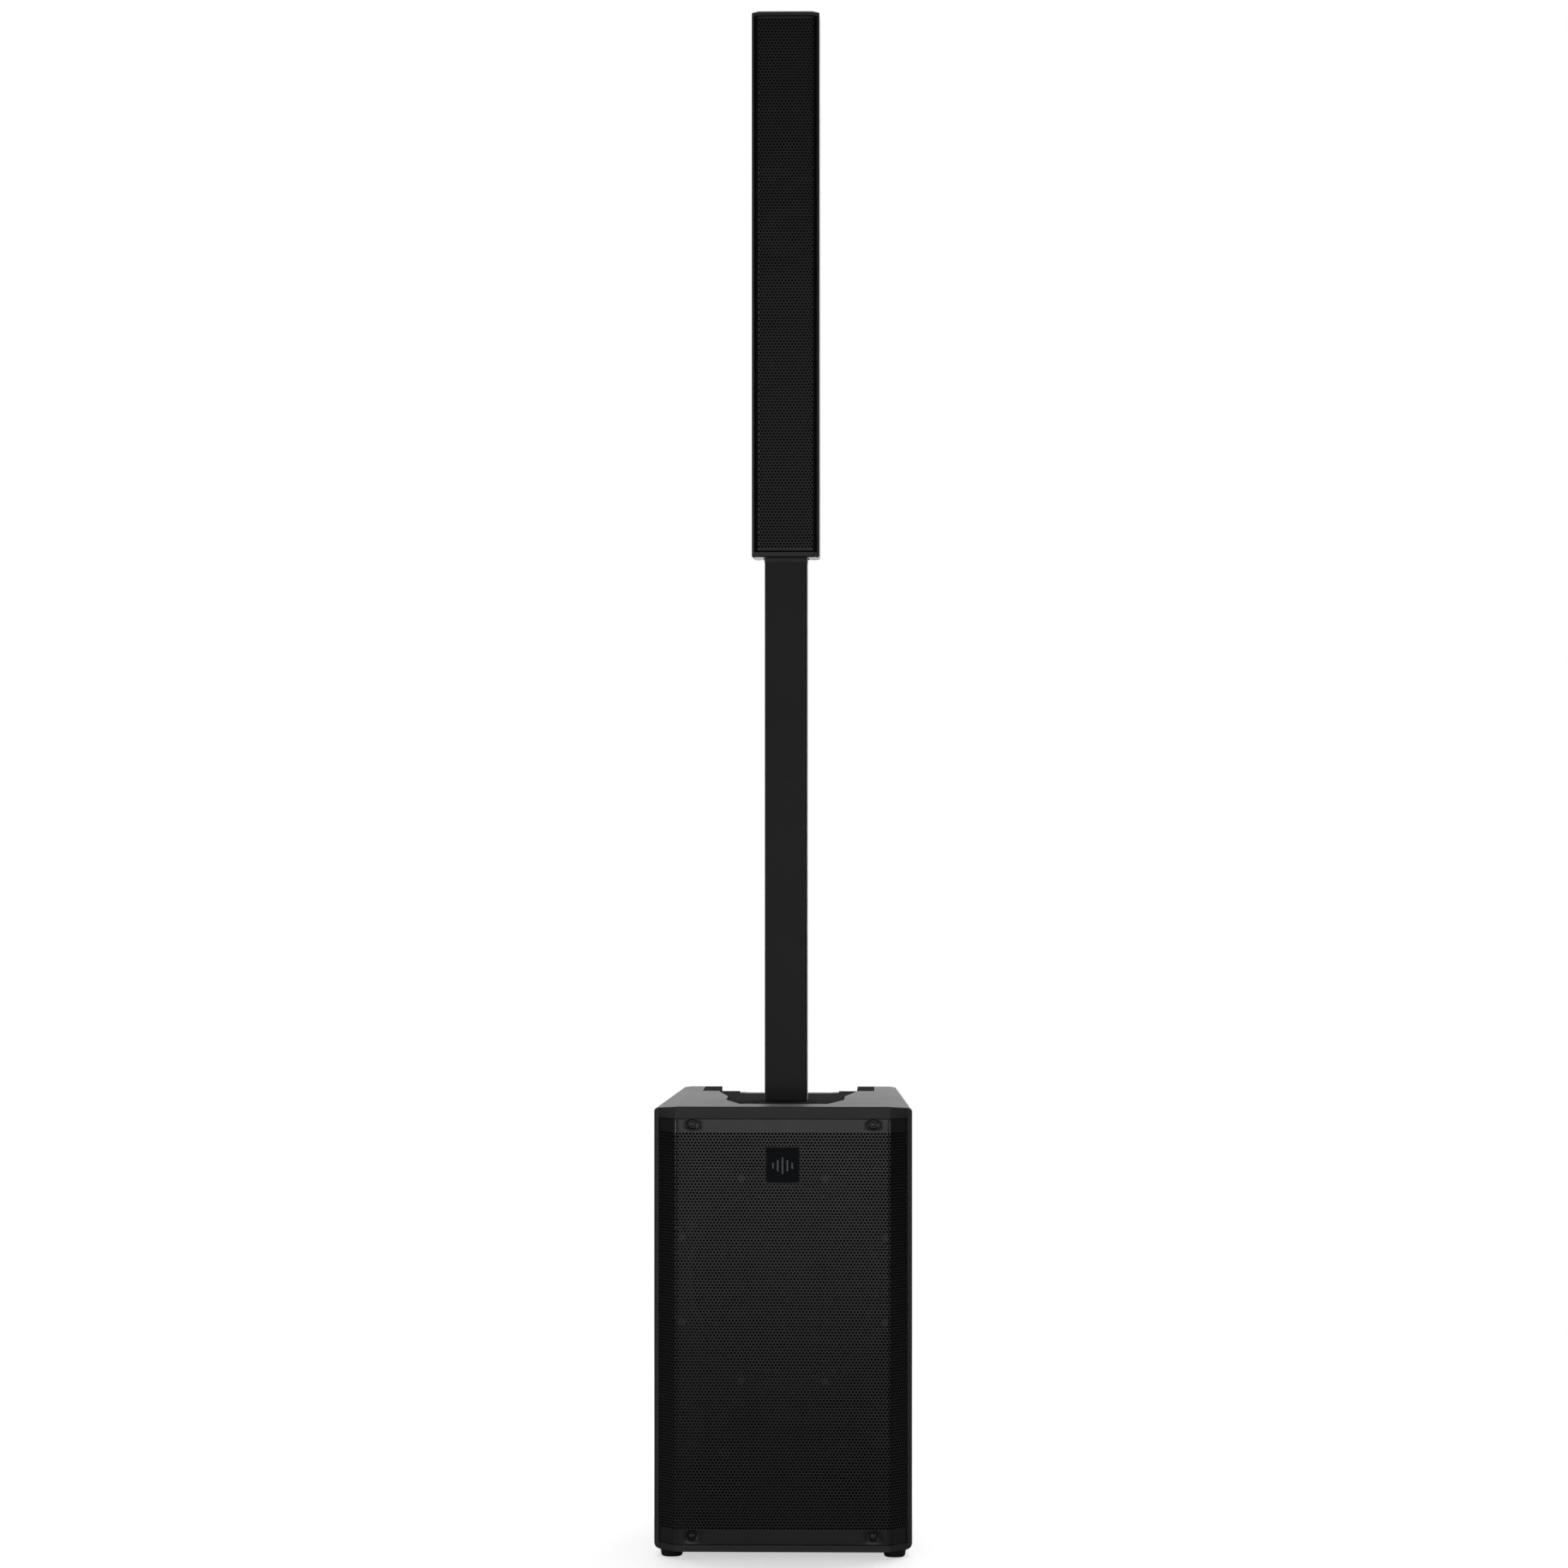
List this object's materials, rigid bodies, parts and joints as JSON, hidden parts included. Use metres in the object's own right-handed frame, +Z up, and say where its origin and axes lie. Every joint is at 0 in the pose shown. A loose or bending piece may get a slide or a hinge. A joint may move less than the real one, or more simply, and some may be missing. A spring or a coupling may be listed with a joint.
{
  "type": "column pa system",
  "caption": "Column loudspeaker on a square pole that plugs into a floor-standing subwoofer with perforated grille, carry handle and rear amplifier panel.",
  "frame": {"origin": "on the floor under the middle of the whole object", "axes": "+X is right seen from the front, -Y faces the listener, +Z is up"},
  "size_m": [0.345, 0.43, 2.087],
  "materials": {
    "cabinet_plastic": "moulded, fine leather-like texture, matt black",
    "baffle_board": "painted black, matt",
    "grille_steel": "black powder coat, satin",
    "screw_steel": "blackened steel, satin",
    "badge_plastic": "black, satin",
    "cast_frame": "black, matt",
    "magnet_ferrite": "dark grey, matt",
    "cone_paper": "coated paper, black",
    "surround_rubber": "soft, matt",
    "spider_cloth": "impregnated cloth",
    "coil_aluminium": "former with winding",
    "foot_rubber": "hard rubber, matt",
    "tray_plastic": "moulded, matt black",
    "handle_rubber": "rubber coated grip, matt",
    "contact_brass": "plated contacts in black insulators",
    "panel_paint": "black anodised sheet",
    "sink_aluminium": "black anodised, satin",
    "circuit_board": "glass laminate, green",
    "connector_plastic": "black, satin",
    "lens_plastic": "clear green",
    "pole_paint": "black powder coat, matt",
    "cap_plastic": "moulded, matt black",
    "column_paint": "black powder coat, matt",
    "knob_rubber": "soft touch, matt"
  },
  "bodies": {
    "subwoofer": {"amp_boards": "circuit_board", "amp_panel": "panel_paint", "badge_plate": "badge_plastic", "cabinet_shell": "cabinet_plastic", "carry_handle": "handle_rubber", "combo_jacks": "connector_plastic", "connector_pins": "contact_brass", "feet": "foot_rubber", "foot_screws": "screw_steel", "front_baffle": "baffle_board", "grille_screws": "screw_steel", "handle_screws": "screw_steel", "handle_well": "tray_plastic", "heat_sink": "sink_aluminium", "indicator_lenses": "lens_plastic", "level_pots": "connector_plastic", "line_jacks": "connector_plastic", "link_output": "connector_plastic", "mains_inlet": "connector_plastic", "panel_screws": "screw_steel", "pole_socket": "tray_plastic", "port_tubes": "tray_plastic", "socket_contacts": "contact_brass", "sub_grille": "grille_steel", "switch_housing": "connector_plastic", "top_tray": "tray_plastic", "tray_screws": "screw_steel", "woofer_basket": "cast_frame", "woofer_magnet": "magnet_ferrite", "woofer_screws": "screw_steel"},
    "pole": {"pole_tube": "pole_paint", "lower_spigot": "tray_plastic", "upper_spigot": "tray_plastic", "pole_collar": "cap_plastic", "pole_contacts": "contact_brass", "pole_screws": "screw_steel"},
    "column": {"column_housing": "column_paint", "column_bottom_cap": "cap_plastic", "column_top_cap": "cap_plastic", "cap_screws": "screw_steel", "column_socket": "tray_plastic", "column_contacts": "contact_brass", "column_baffle": "baffle_board", "column_grille": "grille_steel", "driver_frames": "cast_frame"},
    "column_cones": {"driver_cones": "cone_paper", "driver_surrounds": "surround_rubber"},
    "woofer_diaphragm": {"woofer_cone": "cone_paper", "woofer_surround": "surround_rubber", "woofer_spider": "spider_cloth", "voice_coil": "coil_aluminium", "dust_cap": "cone_paper"},
    "channel_1_dial": {"channel_1_knob": "knob_rubber"},
    "channel_2_dial": {"channel_2_knob": "knob_rubber"},
    "master_dial": {"master_knob": "knob_rubber"},
    "button_1": {"push_button_1": "connector_plastic"},
    "button_2": {"push_button_2": "connector_plastic"},
    "latch_1": {"jack_latch_1": "connector_plastic"},
    "latch_2": {"jack_latch_2": "connector_plastic"},
    "mains_switch": {"switch_rocker": "connector_plastic"}
  },
  "joints": [
    {"name": "pole_lift", "type": "slide", "parent": "subwoofer", "child": "pole", "axis": [0, 0, 1], "range_m": [0, 0.095]},
    {"name": "column_lift", "type": "slide", "parent": "pole", "child": "column", "axis": [0, 0, 1], "range_m": [0, 0.09]},
    {"name": "woofer_travel", "type": "slide", "parent": "subwoofer", "child": "woofer_diaphragm", "axis": [0, -1, 0], "range_m": [-0.006, 0.006], "stiffness_N_per_m": 3300, "deforming": ["woofer_surround", "woofer_spider"]},
    {"name": "column_cone_travel", "type": "slide", "parent": "column", "child": "column_cones", "axis": [0, -1, 0], "range_m": [-0.0015, 0.0015], "stiffness_N_per_m": 6000, "deforming": ["driver_surrounds"]},
    {"name": "channel_1_turn", "type": "hinge", "parent": "subwoofer", "child": "channel_1_dial", "pos_m": [0.084, 0.203, 0.395], "axis": [0, 1, 0], "range_deg": [-150, 150]},
    {"name": "channel_2_turn", "type": "hinge", "parent": "subwoofer", "child": "channel_2_dial", "pos_m": [0.028, 0.203, 0.395], "axis": [0, 1, 0], "range_deg": [-150, 150]},
    {"name": "master_turn", "type": "hinge", "parent": "subwoofer", "child": "master_dial", "pos_m": [-0.056, 0.203, 0.395], "axis": [0, 1, 0], "range_deg": [-150, 150]},
    {"name": "button_1_press", "type": "slide", "parent": "subwoofer", "child": "button_1", "axis": [0, -1, 0], "range_m": [0, 0.002], "stiffness_N_per_m": 400, "springref_m": -0.002},
    {"name": "button_2_press", "type": "slide", "parent": "subwoofer", "child": "button_2", "axis": [0, -1, 0], "range_m": [0, 0.002], "stiffness_N_per_m": 400, "springref_m": -0.002},
    {"name": "latch_1_press", "type": "slide", "parent": "subwoofer", "child": "latch_1", "axis": [0, -1, 0], "range_m": [0, 0.0015], "stiffness_N_per_m": 400, "springref_m": -0.002},
    {"name": "latch_2_press", "type": "slide", "parent": "subwoofer", "child": "latch_2", "axis": [0, -1, 0], "range_m": [0, 0.0015], "stiffness_N_per_m": 400, "springref_m": -0.002},
    {"name": "mains_switch_tip", "type": "hinge", "parent": "subwoofer", "child": "mains_switch", "pos_m": [0, 0.202, 0.138], "axis": [1, 0, 0], "range_deg": [0, 16]}
  ]
}
